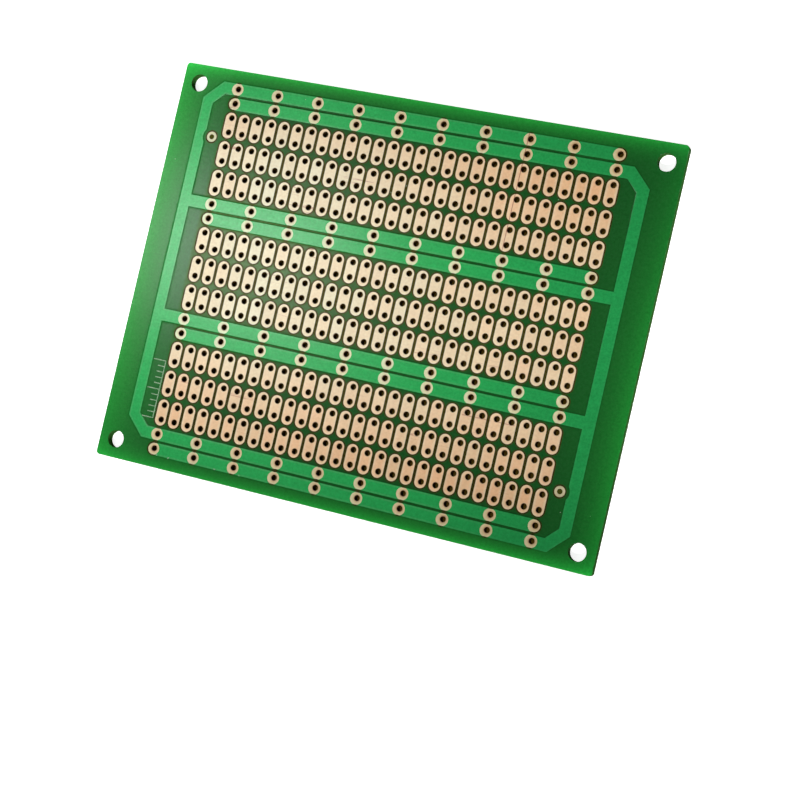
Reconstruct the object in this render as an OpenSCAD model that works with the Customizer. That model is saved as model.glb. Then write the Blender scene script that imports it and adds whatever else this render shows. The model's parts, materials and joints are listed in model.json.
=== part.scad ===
// Bare single-sided prototype board: a drilled glass-epoxy laminate with etched
// copper on one face, under a film of green solder mask that is open over the pads.
// Two comb-shaped power tracks reach in from the two ends, finger beside finger,
// and three banks of two-hole pads fill the fields between the pairs of fingers.
//
// Millimetres. The origin is the centre of the bare back face, +X runs along the
// fingers and +Z points out of the copper side.

/* [Board] */
// Length of the board, along the power fingers
board_l = 90; // [60:0.5:150]
// Width of the board, across the power fingers
board_w = 70; // [55:0.5:120]
// Thickness of the glass-epoxy laminate
laminate_t = 1.6; // [0.8:0.1:2.4]
// Radius of the outline's corners
corner_r = 0.6; // [0.2:0.1:3]

/* [Holes] */
// Spacing of the lead holes, both ways
pitch = 2.54; // [2.1:0.01:3.1]
// Diameter of a drilled lead hole
lead_hole_d = 1; // [0.6:0.05:1.2]
// Diameter of a mounting hole
mount_hole_d = 3; // [2:0.1:4]
// Least laminate left between a mounting hole and the edge of the board
mount_rim = 1.2; // [0.8:0.1:2]
// Pitches from the first and last columns out to the mounting holes
mount_steps = 3; // [3:1:4]

/* [Copper] */
// Thickness of the copper foil
copper_t = 0.035; // [0.03:0.005:0.1]
// Gap between two neighbouring pads
pad_gap = 0.54; // [0.3:0.02:0.7]
// Gap between the two fingers of a pair
finger_gap = 0.54; // [0.3:0.02:0.7]
// Width of the strip that joins the fingers of one power track
strip_w = 1.9; // [1.2:0.1:3]
// Pitches from the outermost column out to the middle of that strip
strip_steps = 2; // [2:0.25:2.5]
// Length cut off the outer edges where the strip turns into its end fingers
corner_cut = 3.2; // [2.6:0.1:4]
// Columns between two solder points on a finger
ring_step = 3; // [2:1:4]

/* [Targets] */
// Outside diameter of an alignment target
target_d = 1.8; // [1.4:0.1:2.2]
// Diameter of the bare spot in the middle of a target
target_spot_d = 0.9; // [0.5:0.05:1]
// Distance of a target's centre outside the outermost column
target_out = 2.8; // [2.4:0.1:3.2]
// Distance of a target's centre in from the outermost row
target_in = 8.8; // [6:0.1:11]
// Least bare laminate kept round a target
target_clear = 0.8; // [0.3:0.05:1]

/* [Solder mask] */
// Thickness of the solder mask film
mask_t = 0.025; // [0.015:0.005:0.05]
// Film left on the flank of a covered copper edge
mask_flank = 0.03; // [0.02:0.005:0.04]
// Distance of the mask's opening from the pad inside it
mask_pullback = 0.08; // [0.05:0.01:0.14]

/* [Registration] */
// How far the printed pattern sits from the drilled holes, along the board
shift_x = -0.14; // [-0.2:0.01:0.2]
// How far the printed pattern sits from the drilled holes, across the board
shift_y = -0.08; // [-0.2:0.01:0.2]

/* [Hidden] */

// The hole grid is centred on the board, between the mounting holes' margins.
// Columns come in groups of ring_step, so that both ends of a finger have a
// solder point. Rows come as a pair of fingers, then rows of pads, three times
// over, and a last pair of fingers.
banks = 3;
mount_margin = mount_hole_d / 2 + mount_rim;
end_margin = mount_steps * pitch + mount_margin;
column_groups = floor((board_l - 2 * end_margin) / (ring_step * pitch));
last_column = column_groups * ring_step;
finger_rows = 2 * (banks + 1);
rows_that_fit = floor((board_w - 2 * mount_margin) / pitch) + 1;
pads_deep = floor((rows_that_fit - finger_rows) / (2 * banks));
bank_rows = 2 * pads_deep + 2;
last_row = banks * bank_rows + 1;
grid_l = last_column * pitch;
grid_w = last_row * pitch;

pad_d = pitch - pad_gap;
finger_w = pitch - finger_gap;
opening_d = pad_d + 2 * mask_pullback;
strip_x = grid_l / 2 + strip_steps * pitch;
mount_x = grid_l / 2 + mount_steps * pitch;
mount_y = grid_w / 2;
target_x = grid_l / 2 + target_out;
target_y = grid_w / 2 - target_in;
target_keepout_d = target_d + 2 * target_clear;

over = 0.5;          // how far cutting tools run past the faces they cut
round_fn = 48;       // fineness of the drawn rounds

function column_x(c) = c * pitch - grid_l / 2;
function row_y(r) = grid_w / 2 - r * pitch;
function is_finger_row(r) = r % bank_rows < 2;

// ---- Outlines in the plane of the board ----

module board_outline() {
    square([board_l - 2 * corner_r, board_w], center = true);
    square([board_l, board_w - 2 * corner_r], center = true);
    for (x = [-1, 1], y = [-1, 1])
        translate([x * (board_l / 2 - corner_r), y * (board_w / 2 - corner_r)])
            circle(r = corner_r, $fn = round_fn);
}

module mounting_holes() {
    for (x = [-mount_x, mount_x], y = [-mount_y, mount_y])
        translate([x, y]) circle(d = mount_hole_d, $fn = round_fn);
}

// Lead holes from one row to another; fingers are drilled at their rings only
module lead_holes(first_row, end_row) {
    for (r = [first_row : end_row], c = [0 : is_finger_row(r) ? ring_step : 1 : last_column])
        translate([column_x(c), row_y(r)]) circle(d = lead_hole_d, $fn = round_fn);
}

// A two-hole pad, or the mask's opening round it: a slot with round ends
module pad_outline(c, r, d) {
    translate([column_x(c), row_y(r)]) circle(d = d, $fn = round_fn);
    translate([column_x(c), row_y(r + 1)]) circle(d = d, $fn = round_fn);
    translate([column_x(c) - d / 2, row_y(r + 1)]) square([d, pitch]);
}

// One hook of the left power track, drawn with its inside and outside corners
// cut at 45 degrees so that the copper keeps the strip's width round the turn.
// grow moves every edge outwards, for the film that wraps the copper's flanks.
module hook_outline(grow) {
    half_strip = strip_w / 2 + grow;
    half_finger = finger_w / 2 + grow;
    spread = grow * (2 - sqrt(2));
    out = corner_cut + spread;
    in = corner_cut + sqrt(2) * strip_w - strip_w - finger_w - spread;
    top = row_y(0);
    bottom = row_y(last_row - 1);
    x0 = -strip_x - half_strip;
    x1 = -strip_x + half_strip;
    x2 = column_x(0);
    polygon([
        [x2, top + half_finger], [x0 + out, top + half_finger], [x0, top + half_finger - out],
        [x0, bottom - half_finger + out], [x0 + out, bottom - half_finger], [x2, bottom - half_finger],
        [x2, bottom + half_finger], [x1 + in, bottom + half_finger], [x1, bottom + half_finger + in],
        [x1, top - half_finger - in], [x1 + in, top - half_finger], [x2, top - half_finger]
    ]);
}

module comb_outline(grow = 0) {
    half_finger = finger_w / 2 + grow;
    difference() {
        union() {
            hook_outline(grow);
            for (b = [0 : banks]) {
                y = row_y(b * bank_rows);
                start = b == 0 || b == banks ? column_x(0) : -strip_x;
                translate([start, y - half_finger])
                    square([column_x(last_column) - start, 2 * half_finger]);
                translate([column_x(last_column), y]) circle(r = half_finger, $fn = round_fn);
            }
        }
        translate([-target_x, target_y]) circle(d = target_keepout_d - 2 * grow, $fn = round_fn);
    }
}

// Printed pattern: everything etched or exposed in one piece with it is shifted
module printed(z) {
    translate([shift_x, shift_y, z]) children();
}

// ---- The pieces ----

module laminate() {
    color("yellowgreen")
        linear_extrude(laminate_t)
            difference() {
                board_outline();
                mounting_holes();
                lead_holes(0, last_row);
            }
}

// The left track holds the first finger of every pair. The right one is the same
// comb turned half round, which puts its fingers second in every pair.
module power_track(turn) {
    color("peru")
        translate([0, 0, laminate_t])
            linear_extrude(copper_t)
                difference() {
                    translate([shift_x, shift_y]) rotate(turn) comb_outline();
                    lead_holes(0, last_row);
                }
}

module left_power_track() {
    power_track(0);
}

module right_power_track() {
    power_track(180);
}

module bank_pads(b) {
    first_row = (b - 1) * bank_rows + 2;
    color("burlywood")
        translate([0, 0, laminate_t])
            linear_extrude(copper_t)
                difference() {
                    translate([shift_x, shift_y])
                        for (p = [0 : pads_deep - 1], c = [0 : last_column])
                            pad_outline(c, first_row + 2 * p, pad_d);
                    lead_holes(first_row, first_row + 2 * pads_deep - 1);
                }
}

module target(turn) {
    color("burlywood")
        translate([shift_x, shift_y, laminate_t])
            linear_extrude(copper_t)
                rotate(turn) translate([-target_x, target_y])
                    difference() {
                        circle(d = target_d, $fn = round_fn);
                        circle(d = target_spot_d, $fn = round_fn);
                    }
}

module left_target() {
    target(0);
}

module right_target() {
    target(180);
}

// Everything the mask leaves bare: rings on the fingers, pads and targets
module mask_openings() {
    for (r = [0 : last_row], c = [0 : ring_step : last_column])
        if (is_finger_row(r))
            translate([column_x(c), row_y(r)]) circle(d = opening_d, $fn = round_fn);
    for (b = [0 : banks - 1], p = [0 : pads_deep - 1], c = [0 : last_column])
        pad_outline(c, b * bank_rows + 2 + 2 * p, opening_d);
    for (turn = [0, 180])
        rotate(turn) translate([-target_x, target_y])
            circle(d = target_d + 2 * mask_pullback, $fn = round_fn);
}

module both_combs(grow = 0) {
    comb_outline(grow);
    rotate(180) comb_outline(grow);
}

// A film that lies on the laminate and climbs over the covered copper
module solder_mask() {
    color("green")
        difference() {
            union() {
                translate([0, 0, laminate_t]) linear_extrude(mask_t)
                    difference() {
                        board_outline();
                        mounting_holes();
                    }
                printed(laminate_t) linear_extrude(copper_t + mask_t) both_combs(mask_flank);
            }
            printed(laminate_t - over) linear_extrude(copper_t + over) both_combs();
            printed(laminate_t - over) linear_extrude(2 * over) mask_openings();
        }
}

laminate();
left_power_track();
right_power_track();
bank_pads(1);  // bank_1_pads
bank_pads(2);  // bank_2_pads
bank_pads(3);  // bank_3_pads
left_target();
right_target();
solder_mask();
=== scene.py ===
# %% [markdown]
# A bare prototype board, dressed for its portrait. The board is a plate of glass-epoxy with copper
# etched on one face, and a green film of solder mask over that face, open where something gets soldered.
# The measured pieces come ready made, as a frame in metres. This lesson keeps the plate and the copper,
# makes the film again with the soft steps that a real film has, prints a small scale on it, and then
# gives every surface a finish made of nodes.

# %% The measured pieces
import json
import math
import bpy
import numpy as np
from mathutils import Matrix, Vector
from mathutils.geometry import delaunay_2d_cdt


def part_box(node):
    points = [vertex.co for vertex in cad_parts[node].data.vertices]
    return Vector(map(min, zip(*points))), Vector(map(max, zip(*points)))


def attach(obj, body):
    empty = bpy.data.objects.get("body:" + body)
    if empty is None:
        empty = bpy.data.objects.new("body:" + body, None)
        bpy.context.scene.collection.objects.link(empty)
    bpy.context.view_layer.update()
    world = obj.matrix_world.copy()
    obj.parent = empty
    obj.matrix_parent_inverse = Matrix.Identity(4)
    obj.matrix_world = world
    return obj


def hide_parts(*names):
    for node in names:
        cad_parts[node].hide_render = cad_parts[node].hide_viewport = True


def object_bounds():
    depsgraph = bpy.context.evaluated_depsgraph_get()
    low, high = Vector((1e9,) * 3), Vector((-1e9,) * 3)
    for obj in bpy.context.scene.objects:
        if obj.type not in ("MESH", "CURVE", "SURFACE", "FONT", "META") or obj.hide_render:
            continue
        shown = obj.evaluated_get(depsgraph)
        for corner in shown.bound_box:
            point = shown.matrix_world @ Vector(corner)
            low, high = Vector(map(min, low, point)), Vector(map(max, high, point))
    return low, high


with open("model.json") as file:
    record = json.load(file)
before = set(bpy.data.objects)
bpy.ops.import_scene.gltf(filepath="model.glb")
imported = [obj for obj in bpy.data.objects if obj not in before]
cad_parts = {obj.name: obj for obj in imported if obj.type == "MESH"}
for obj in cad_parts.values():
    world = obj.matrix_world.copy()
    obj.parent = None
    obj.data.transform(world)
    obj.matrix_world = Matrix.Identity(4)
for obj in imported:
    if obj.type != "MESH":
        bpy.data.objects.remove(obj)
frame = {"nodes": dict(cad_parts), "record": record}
measured_box = [list(corner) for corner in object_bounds()]
print("measured pieces:", ", ".join(sorted(frame["nodes"])))
print("board, mm:", [round(1000 * (b - a), 3) for a, b in zip(*measured_box)])

# %% [markdown]
# The camera comes first, because everything else is judged through it. It stands a hand's breadth to the
# right of the board and looks down on it, turned so that the board leans to the left. A turned camera
# can be written as angles, but three plain directions are easier to check: where its right, its top and
# its back point. They are the columns of its matrix.

# %% The camera
camera_at = (0.106389, -0.02029, 0.28626)
camera_right = Vector((0.921343, 0.226106, -0.316232))
camera_top = Vector((-0.207305, 0.973907, 0.092358))
camera_back = Vector((0.328863, -0.019537, 0.944175))

lens = bpy.data.cameras.new("camera")
lens.sensor_width = 36.0
lens.lens = 82.45
lens.clip_start, lens.clip_end = 0.01, 20.0
camera = bpy.data.objects.new("camera", lens)
turn = Matrix((camera_right, camera_top, camera_back)).transposed().to_4x4()
camera.matrix_world = Matrix.Translation(camera_at) @ turn
bpy.context.collection.objects.link(camera)
bpy.context.scene.camera = camera
print("camera height, mm:", round(1000 * camera.location.z, 1))

# %% [markdown]
# Nodes are wired by hand all through this lesson, so a few short helpers pay off. `wire` adds one node and
# fills in its sockets, with a link where it is given another node's output. `formula` adds a Math node, and
# on it rest sums, products and lengths, so that a formula on a surface reads nearly as it would on paper.

# %% Helpers for nodes
def fill(tree, node, **inputs):
    """Gives a node's inputs a value, or links them to the output of another node. An input goes by its
    socket's name with spaces as underscores, or by its number as i0, i1, ..."""
    for name, value in inputs.items():
        numbered = name[0] == "i" and name[1:].isdigit()
        socket = node.inputs[int(name[1:]) if numbered else name.replace("_", " ")]
        if isinstance(value, bpy.types.NodeSocket):
            tree.links.new(value, socket)
        else:
            socket.default_value = value
    return node


def wire(tree, kind, settings=None, **inputs):
    """Adds a node of that kind to the tree, with its settings and its inputs."""
    node = tree.nodes.new("ShaderNode" + kind)
    for name, value in (settings or {}).items():
        setattr(node, name, value)
    return fill(tree, node, **inputs)


def formula(tree, operation, *terms):
    """One Math node: the operation applied to one, two or three terms."""
    inputs = {f"i{k}": term for k, term in enumerate(terms)}
    return wire(tree, "Math", {"operation": operation}, **inputs).outputs[0]


def times(tree, first, *others):
    """The product of all the terms, multiplied from left to right."""
    for term in others:
        first = formula(tree, "MULTIPLY", first, term)
    return first


def plus(tree, first, second):
    """The sum of two terms."""
    return formula(tree, "ADD", first, second)


def minus(tree, first, second):
    """The first term less the second."""
    return formula(tree, "SUBTRACT", first, second)


def line(tree, value, slope, start):
    """A straight line: the value times the slope, plus the start."""
    return formula(tree, "MULTIPLY_ADD", value, slope, start)


def length(tree, a, b):
    """The length of a vector with the parts a and b: the square root of a times a plus b times b."""
    return formula(tree, "SQRT", plus(tree, times(tree, a, a), times(tree, b, b)))


def steps_from(tree, value, low, high, to_low=0.0, to_high=1.0):
    """A soft step: to_low where value is under low, to_high over high, and a smooth curve between."""
    sockets = {"From_Min": low, "From_Max": high, "To_Min": to_low, "To_Max": to_high}
    node = wire(tree, "MapRange", {"interpolation_type": "SMOOTHSTEP"}, Value=value, **sockets)
    return node.outputs[0]


print("helpers:", ", ".join(f.__name__ for f in (fill, wire, formula, times, line, length, steps_from)))

# %% [markdown]
# Colours need helpers of their own. A finish is mostly one colour laid over another by a share that changes
# over the surface, and now and then a tint that multiplies what is there. Both are the same Mix node.

# %% Helpers for colours
WHITE = (1, 1, 1, 1)


def grey(tree, value):
    """A grey as bright as the value."""
    return wire(tree, "CombineColor", Red=value, Green=value, Blue=value).outputs[0]


def blended(tree, share, first, second, kind="MIX"):
    """Mixes two colours by a share from 0 to 1, with Blender's colour mix of that kind."""
    node = wire(tree, "Mix", {"data_type": "RGBA", "blend_type": kind}, i0=share, i6=first, i7=second)
    return node.outputs[2]


def tinted(tree, colour, tint, share=1.0):
    """The colour multiplied by a tint, channel by channel, as far as the share goes."""
    return blended(tree, share, colour, tint, "MULTIPLY")


def new_finish(name):
    """A material with a Principled surface. Returns (material, tree, the Principled node)."""
    material = bpy.data.materials.new(name)
    material.use_nodes = True
    tree = material.node_tree
    return material, tree, tree.nodes["Principled BSDF"]


print("helpers:", ", ".join(f.__name__ for f in (grey, blended, tinted, new_finish)))

# %% [markdown]
# The board lies on a white sheet that has no edge in view. White paper under a soft lamp is a little
# grey, so the sheet adds light of its own, for the camera and for reflections only, and none of it falls
# on the board. Close to the board it adds less, which leaves the board its shadow. Under the board the
# sheet is painted dark brown, a painted shade that the drilled holes show when one looks into them,
# except below the four mounting holes.

# %% The shape of the white sheet
SHEET_HALF, SHEET_Z = 4.0, -0.00005
sheet_corners = [(x * SHEET_HALF, y * SHEET_HALF, 0) for x, y in ((-1, -1), (1, -1), (1, 1), (-1, 1))]
sheet_data = bpy.data.meshes.new("white_sheet")
sheet_data.from_pydata(sheet_corners, [], [(0, 1, 2, 3)])
sheet = bpy.data.objects.new("white_sheet", sheet_data)
sheet.location.z = SHEET_Z
bpy.context.collection.objects.link(sheet)

bolts = next(m for m in frame["record"]["mounts"] if m["kind"] == "bolt_pattern")["dims"]
bolt_x, bolt_y, bolt_r = bolts["spacing_x_mm"] / 2, bolts["spacing_y_mm"] / 2, bolts["hole_r_mm"]
half_l, half_w = (500 * (b - a) for a, b in list(zip(*measured_box))[:2])
print("board half sizes, mm:", half_l, half_w, "mounting holes at", bolt_x, bolt_y)

# %% The paper of the white sheet
SHADE_PATCH_MARGIN, WHITE_ROUND_BOLT = -0.8, 3.4
UNDER_BOARD_SHADE_GLOW, UNDER_BOARD_SHADE_BROWN, PAPER = (0.036, 0.021, 0.002, 1), (0.02, 0.012, 0.004, 1), (0.8, 0.8, 0.8, 1)

paper, tree, surface = new_finish("white_paper")
tree.nodes.remove(surface)
at = wire(tree, "SeparateXYZ", Vector=wire(tree, "TexCoord").outputs["Object"]).outputs
away_x, away_y = (times(tree, formula(tree, "ABSOLUTE", at[k]), 1000.0) for k in "XY")
outside = formula(tree, "MAXIMUM", minus(tree, away_x, half_l), minus(tree, away_y, half_w))
from_bolt = length(tree, minus(tree, away_x, bolt_x), minus(tree, away_y, bolt_y))
# painted shade: the sheet is dark brown under the board, except below the mounting holes
open_sheet = formula(tree, "MAXIMUM", formula(tree, "GREATER_THAN", outside, SHADE_PATCH_MARGIN),
                     formula(tree, "LESS_THAN", from_bolt, WHITE_ROUND_BOLT))
glow = grey(tree, steps_from(tree, outside, 1.0, 14.0, 0.88, 1.0))
seen = wire(tree, "LightPath").outputs
looked_at = formula(tree, "MAXIMUM", seen["Is Camera Ray"], seen["Is Glossy Ray"])
lit = wire(tree, "Emission", Color=blended(tree, open_sheet, UNDER_BOARD_SHADE_GLOW, glow), Strength=looked_at)
matt = wire(tree, "BsdfDiffuse", Color=blended(tree, open_sheet, UNDER_BOARD_SHADE_BROWN, PAPER))
both = wire(tree, "AddShader", i0=lit.outputs[0], i1=matt.outputs[0])
fill(tree, tree.nodes["Material Output"], Surface=both.outputs[0])
sheet_data.materials.append(paper)
print("white sheet, m:", 2 * SHEET_HALF, "white below the bolt holes to", WHITE_ROUND_BOLT, "mm")

# %% [markdown]
# Three soft lamps light the board. The beam lamp is a long box with a grid in front, on the near side,
# rolled a few degrees to lie across the board: the grid keeps its light in a band, so the middle rows get
# more of it than the outer ones, and it draws a bright line on the copper edges that face it. The side
# lamp, low on the left, makes the left end lighter. The sheen lamp is small and hangs where the left of
# the board mirrors it into the camera, and lays a pale haze there. The room adds a little light, more
# from its walls than from its ceiling, and is white only where the camera looks straight at it.

# %% Lamps
def soft_lamp(name, stands_at, aimed_at, size, watts, spread=180.0, roll=0.0):
    """A rectangular lamp at one point, facing another, its long side level but for its roll. Spread
    narrows it like a grid. Both are angles in degrees."""
    data = bpy.data.lights.new(name, "AREA")
    data.shape = "RECTANGLE"
    data.size, data.size_y = size
    data.energy = watts
    data.spread = math.radians(spread)
    lamp = bpy.data.objects.new(name, data)
    facing = (Vector(aimed_at) - Vector(stands_at)).to_track_quat("-Z", "Y").to_matrix().to_4x4()
    rolled = Matrix.Rotation(math.radians(roll), 4, "Z")
    lamp.matrix_world = Matrix.Translation(stands_at) @ facing @ rolled
    lamp.visible_camera = False
    bpy.context.collection.objects.link(lamp)
    return lamp


soft_lamp("beam_lamp", (0.078, -0.269, 0.32), (-0.02, 0.004, 0.0), size=(0.36, 0.05), watts=0.083,
          spread=14.0, roll=-9.0)
soft_lamp("side_lamp", (-0.28, 0.1, 0.2), (0.0, 0.0, 0.0), size=(0.12, 0.12), watts=0.265)
soft_lamp("sheen_lamp", (-0.147, 0.0261, 0.25), (-0.147, 0.02611, 0.0), size=(0.079, 0.043), watts=0.09)

# %% The room
WALL_LIGHT, CEILING_LIGHT = 0.36, 0.035
room = bpy.data.worlds.new("soft_room")
room.use_nodes = True
bpy.context.scene.world = room
sky = room.node_tree
upward = wire(sky, "SeparateXYZ", Vector=wire(sky, "TexCoord").outputs["Generated"]).outputs["Z"]
walls = steps_from(sky, upward, 0.15, 0.6, WALL_LIGHT, CEILING_LIGHT)
to_camera = wire(sky, "LightPath").outputs["Is Camera Ray"]
fill(sky, sky.nodes["Background"], Color=WHITE, Strength=formula(sky, "MAXIMUM", walls, to_camera))
bpy.context.scene.view_settings.view_transform = "Standard"
print("room light, walls and ceiling:", WALL_LIGHT, CEILING_LIGHT)

# %% [markdown]
# Every hole sits on one grid, 2.54 mm each way: 28 columns, and 26 rows. Rows go in pairs. Each fourth
# pair is two long fingers of copper, and the three pairs between are pads with two holes each. The
# printed pattern, copper and mask alike, sits a hair to the left of the drilled holes and below them, as
# it does on cheap boards. The pads' own box tells how far, so nothing is measured twice.

# %% The grid
MM = 0.001
PITCH, COLUMNS, ROWS, BANK = 2.54, 28, 26, 8
RING_STEP = 3
grid_l, grid_w = (COLUMNS - 1) * PITCH, (ROWS - 1) * PITCH
top_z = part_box("laminate")[1][2] / MM
copper_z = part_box("bank_1_pads")[1][2] / MM
film_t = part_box("solder_mask")[1][2] / MM - copper_z
pads_low, pads_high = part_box("bank_2_pads")
shift = np.array([(pads_low[k] + pads_high[k]) / (2 * MM) for k in (0, 1)])
pad_d = (pads_high[0] - pads_low[0]) / MM - grid_l


def column_x(c):
    """x of a column, counted from the left, in mm."""
    return np.asarray(c) * PITCH - grid_l / 2


def row_y(r):
    """y of a row, counted from the far side, in mm."""
    return grid_w / 2 - np.asarray(r) * PITCH


print("pads, mm:", round(pad_d, 3), "wide, shifted by", shift.round(3), "under a film of", round(film_t, 4))

# %% [markdown]
# Both combs of copper have one outline, turned half round for the right one. The film needs that outline
# many times, each a little wider than the last, because it slopes down from the copper. So the outline
# is one function of how far it is moved outwards: straight runs move sideways, the round finger tips
# grow, the notch round the target shrinks, and a corner cut at 45 degrees slides along by its own rule.

# %% The outline of a comb
FINGER_GAP, STRIP_W, CORNER_CUT = 0.54, 1.9, 3.2
FINGER_W = PITCH - FINGER_GAP
STRIP_X = grid_l / 2 + 2 * PITCH
TARGET_OUT, TARGET_IN, FOIL_TARGET_R, NOTCH_R = 2.8, 8.8, 0.9, 1.7
TARGET = np.array([grid_l / 2 + TARGET_OUT, grid_w / 2 - TARGET_IN])
ARC_STEPS = 13


def arc(cx, cy, radius, start, end, steps=ARC_STEPS):
    """Points on a circle from one angle to another, in degrees, both ends included."""
    a = np.radians(np.linspace(start, end, steps))
    return np.c_[cx + radius * np.cos(a), cy + radius * np.sin(a)]


def comb_outline(grow):
    """The left comb's outline as one closed run of points, moved outwards by grow, in mm. Fingers reach
    right from a strip, and its corners are cut at 45 degrees, outside and inside. A cut moved outwards
    by grow gets longer on the outside by grow times 2 less the root of 2, and as much shorter inside."""
    half, half_strip = FINGER_W / 2 + grow, STRIP_W / 2 + grow
    slide = grow * (2 - math.sqrt(2))
    outer = CORNER_CUT + slide
    inner = CORNER_CUT + math.sqrt(2) * STRIP_W - STRIP_W - FINGER_W - slide
    y = row_y([0, BANK, 2 * BANK, 3 * BANK])
    x0, x1 = -STRIP_X - half_strip, -STRIP_X + half_strip
    tip = [arc(column_x(COLUMNS - 1), y[k], half, -90, 90) for k in range(4)]
    notch = NOTCH_R - grow
    bite = math.degrees(math.acos((TARGET[0] + x1) / notch))
    runs = [
        [(x0 + outer, y[0] + half), (x0, y[0] + half - outer)],
        [(x0, y[3] - half + outer), (x0 + outer, y[3] - half)],
        tip[3], [(x1 + inner, y[3] + half), (x1, y[3] + half + inner), (x1, y[2] - half)],
        tip[2], [(x1, y[2] + half), (x1, y[1] - half)],
        tip[1], [(x1, y[1] + half)],
        arc(-TARGET[0], TARGET[1], notch, -bite, bite - 360),
        [(x1, y[0] - half - inner), (x1 + inner, y[0] - half)], tip[0],
    ]
    return np.vstack(runs)


def both_combs(grow):
    """The outlines of the left comb and of the right one, where they are printed."""
    left_one = comb_outline(grow)
    return [left_one + shift, -left_one + shift]


print("points round a comb:", len(comb_outline(0.0)))

# %% [markdown]
# How far is a point from the copper? For the height of the film that one number is enough. The distance
# to an outline is the least distance to any of its straight pieces, and an odd number of crossings to
# the right tells that the point is inside, where the distance counts as negative. Every point meets every
# piece in one large array, so the points go in batches that fit in memory.

# %% Distance from the combs
BATCH = 4000


def distance_to_outline(points, outline):
    """Signed distance of every point to a closed outline, negative inside. Along a piece from a to b the
    nearest point is a plus t times (b - a), with t held between 0 and 1."""
    a, b = outline, np.roll(outline, -1, axis=0)
    run = (b - a)[None]
    rise = np.where(b[:, 1] == a[:, 1], 1.0, b[:, 1] - a[:, 1])
    nearest, inside = np.zeros(len(points)), np.zeros(len(points), bool)
    for part in np.array_split(np.arange(len(points)), max(1, len(points) // BATCH)):
        p = points[part, None, :]
        t = np.clip(((p - a) * run).sum(2) / (run**2).sum(2), 0, 1)
        nearest[part] = np.sqrt(((p - a - t[..., None] * run) ** 2).sum(2)).min(1)
        crosses = (a[:, 1] > p[..., 1]) != (b[:, 1] > p[..., 1])
        crossing_x = a[:, 0] + (p[..., 1] - a[:, 1]) * (b[:, 0] - a[:, 0]) / rise
        inside[part] = (crosses & (p[..., 0] < crossing_x)).sum(1) % 2 == 1
    return np.where(inside, -nearest, nearest)


def distance_to_copper(points):
    """Signed distance to the nearer of the two combs, in mm."""
    return np.min([distance_to_outline(points, outline) for outline in both_combs(0.0)], axis=0)


middle_of_strip = np.array([[-STRIP_X, 0.0]]) + shift
print("half the strip, mm:", -distance_to_copper(middle_of_strip).round(3)[0])

# %% [markdown]
# The openings are short slots over the pads, discs over the solder points and the two targets. All slots
# are one slot, moved: the outline is worked out once and added to every pad's place in one sum.

# %% The openings
PULLBACK, CORNER_R = 0.08, 0.6
OPENING_R, TARGET_R = pad_d / 2 + PULLBACK, FOIL_TARGET_R + PULLBACK
DISC_STEPS, BOLT_STEPS = 24, 48
pad_rows = np.array([r + 0.5 for r in range(ROWS) if r % BANK in (2, 4, 6)])
finger_rows = np.array([r for r in range(ROWS) if r % BANK < 2])


def grid_places(columns, rows):
    """The places where columns and rows meet, as printed, one line of x and y for each."""
    return np.stack(np.meshgrid(column_x(columns), row_y(rows)), -1).reshape(-1, 2) + shift


pad_at = grid_places(np.arange(COLUMNS), pad_rows)
ring_at = grid_places(np.arange(0, COLUMNS, RING_STEP), finger_rows)
target_at = np.array([TARGET * (-1, 1), TARGET * (1, -1)]) + shift
bolt_at = np.array([(x, y) for x in (-bolt_x, bolt_x) for y in (-bolt_y, bolt_y)])


def slot_outline(radius):
    """A slot with round ends, one pitch long between the ends' middles, about the origin."""
    return np.vstack([arc(0, PITCH / 2, radius, 0, 180), arc(0, -PITCH / 2, radius, 180, 360)])


def disc_outline(radius, steps=DISC_STEPS):
    """A circle about the origin, its first point not repeated."""
    return arc(0, 0, radius, 0, 360, steps + 1)[:-1]


def moved_copies(outline, places):
    """One copy of the outline at each place, as a list of loops."""
    return list(places[:, None, :] + outline[None])


print(len(pad_at), "slots,", len(ring_at), "rings,", len(target_at), "targets,", len(bolt_at), "bolts")

# %% [markdown]
# The film is flat over copper, flat over bare board, and slopes between the two. A regular grid of faces
# would cut across every rounded edge, so the shape is cut out like a stencil instead: all loops go into a
# constrained triangulation, which keeps each loop as edges. The loops that run along the copper at
# several distances carry the slope. Two more loops outside each opening, bolt hole and edge of the board
# bound its lip, so that a colour can change there without bleeding along a long triangle.

# %% The stencil of the film
SLOPE_W, LIPS = 0.18, (0.0, 0.12, 0.25)
SLOPE_AT = (-0.34, -0.16, -0.06, 0.0, 0.03, 0.06, 0.09, 0.12, 0.15, 0.178, 0.3, 0.52)
CORNER_STEPS, MERGED_WITHIN = 6, 1e-5


def rounded_outline(half_x, half_y, radius):
    """A rectangle with round corners, about the origin."""
    cx, cy = half_x - radius, half_y - radius
    corners = ((cx, cy, 0), (-cx, cy, 90), (-cx, -cy, 180), (cx, -cy, 270))
    return np.vstack([arc(x, y, radius, a, a + 90, CORNER_STEPS) for x, y, a in corners])


loops = [rounded_outline(half_l - lip, half_w - lip, CORNER_R - lip) for lip in LIPS]
for lip in LIPS:
    loops += moved_copies(slot_outline(OPENING_R + lip), pad_at)
    loops += moved_copies(disc_outline(OPENING_R + lip), ring_at)
    loops += moved_copies(disc_outline(TARGET_R + lip), target_at)
    loops += moved_copies(disc_outline(bolt_r + lip, BOLT_STEPS), bolt_at)
for grow in SLOPE_AT:
    loops += both_combs(grow)

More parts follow.
